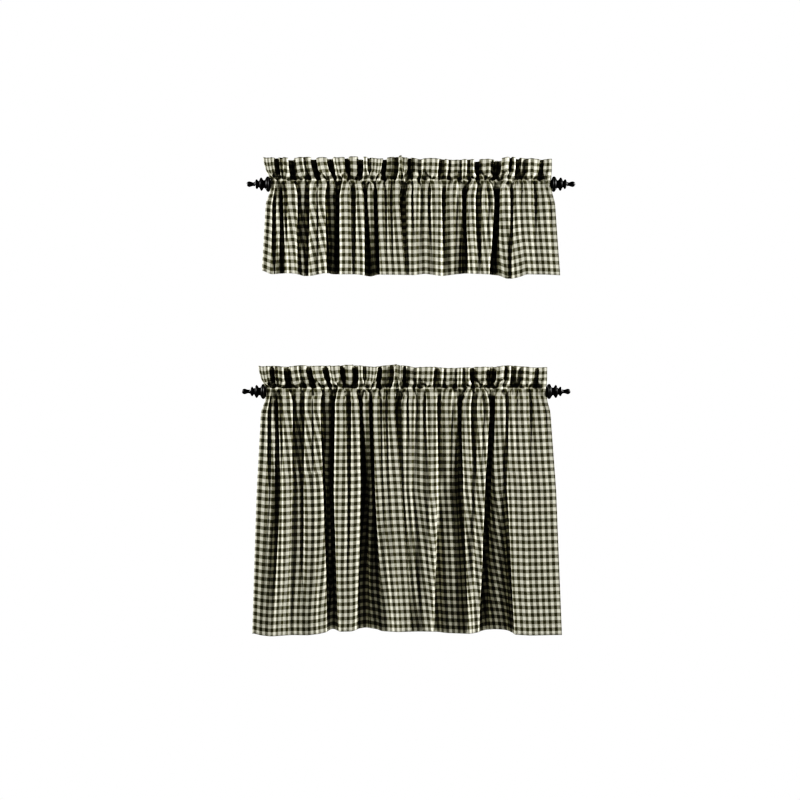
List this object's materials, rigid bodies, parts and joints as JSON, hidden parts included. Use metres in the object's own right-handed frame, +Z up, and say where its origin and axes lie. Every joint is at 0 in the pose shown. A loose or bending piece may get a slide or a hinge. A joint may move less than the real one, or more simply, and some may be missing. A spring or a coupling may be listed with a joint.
{
  "type": "cafe curtain tier and valance set with rods",
  "caption": "Rod-pocket cafe curtains in woven black and cream gingham: gathered tier panels and a matching valance, each hanging in soft folds from a black rod with turned finials.",
  "frame": {"origin": "middle of the lower (tier) rod's axis", "axes": "+X to the right along the rods, +Y to the back towards the window, +Z up; the viewer is on the -Y side"},
  "size_m": [1.1326, 0.0841, 1.6274],
  "materials": {
    "gingham": "plain-woven cotton, matt",
    "black_metal": "satin black"
  },
  "bodies": {
    "root": {"tier_left": "gingham", "tier_right": "gingham", "valance_left": "gingham", "valance_right": "gingham", "tier_rod": "black_metal", "valance_rod": "black_metal", "tier_finial_left": "black_metal", "tier_finial_right": "black_metal", "valance_finial_left": "black_metal", "valance_finial_right": "black_metal"}
  },
  "joints": []
}
